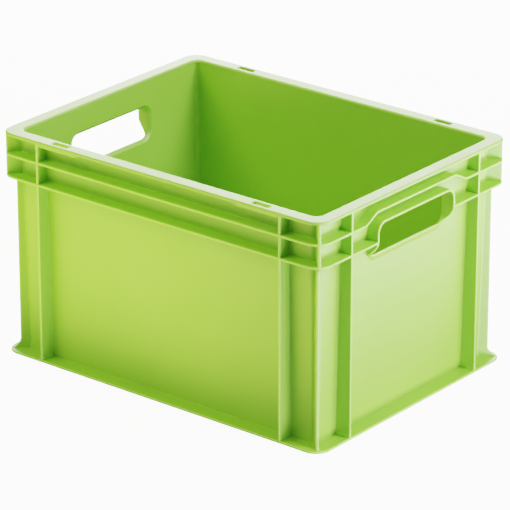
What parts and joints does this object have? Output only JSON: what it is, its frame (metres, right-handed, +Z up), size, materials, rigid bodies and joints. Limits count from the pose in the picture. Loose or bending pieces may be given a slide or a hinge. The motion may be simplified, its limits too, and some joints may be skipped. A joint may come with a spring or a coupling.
{
  "type": "stacking crate",
  "caption": "Open-topped plastic stacking crate with leaning walls, outer fins and ribs, a flat rim, a base flange and a hand hole in each end.",
  "frame": {"origin": "centre of the footprint, at the level that the crate stands on", "axes": "+X along the length, towards one hand hole, +Y along the width, +Z up out of the open top"},
  "size_m": [0.4, 0.3, 0.24],
  "materials": {
    "moulded_plastic": "satin moulded polypropylene, bright yellowish green"
  },
  "bodies": {
    "root": {"floor_panel": "moulded_plastic", "front_foot_rail": "moulded_plastic", "front_wall": "moulded_plastic", "front_flange": "moulded_plastic", "front_low_fin": "moulded_plastic", "front_mid_fin": "moulded_plastic", "front_rim": "moulded_plastic", "rear_foot_rail": "moulded_plastic", "rear_wall": "moulded_plastic", "rear_flange": "moulded_plastic", "rear_low_fin": "moulded_plastic", "rear_mid_fin": "moulded_plastic", "rear_rim": "moulded_plastic", "right_foot_rail": "moulded_plastic", "right_wall": "moulded_plastic", "right_flange": "moulded_plastic", "right_mid_fin": "moulded_plastic", "right_rim": "moulded_plastic", "right_handle_surround": "moulded_plastic", "right_low_fin_front": "moulded_plastic", "right_low_fin_rear": "moulded_plastic", "left_foot_rail": "moulded_plastic", "left_wall": "moulded_plastic", "left_flange": "moulded_plastic", "left_mid_fin": "moulded_plastic", "left_rim": "moulded_plastic", "left_handle_surround": "moulded_plastic", "left_low_fin_front": "moulded_plastic", "left_low_fin_rear": "moulded_plastic", "front_right_wall_corner": "moulded_plastic", "front_right_corner_fin": "moulded_plastic", "front_rib_right": "moulded_plastic", "right_rib_front": "moulded_plastic", "front_left_wall_corner": "moulded_plastic", "front_left_corner_fin": "moulded_plastic", "front_rib_left": "moulded_plastic", "left_rib_front": "moulded_plastic", "rear_right_wall_corner": "moulded_plastic", "rear_right_corner_fin": "moulded_plastic", "rear_rib_right": "moulded_plastic", "right_rib_rear": "moulded_plastic", "rear_left_wall_corner": "moulded_plastic", "rear_left_corner_fin": "moulded_plastic", "rear_rib_left": "moulded_plastic", "left_rib_rear": "moulded_plastic"}
  },
  "joints": []
}
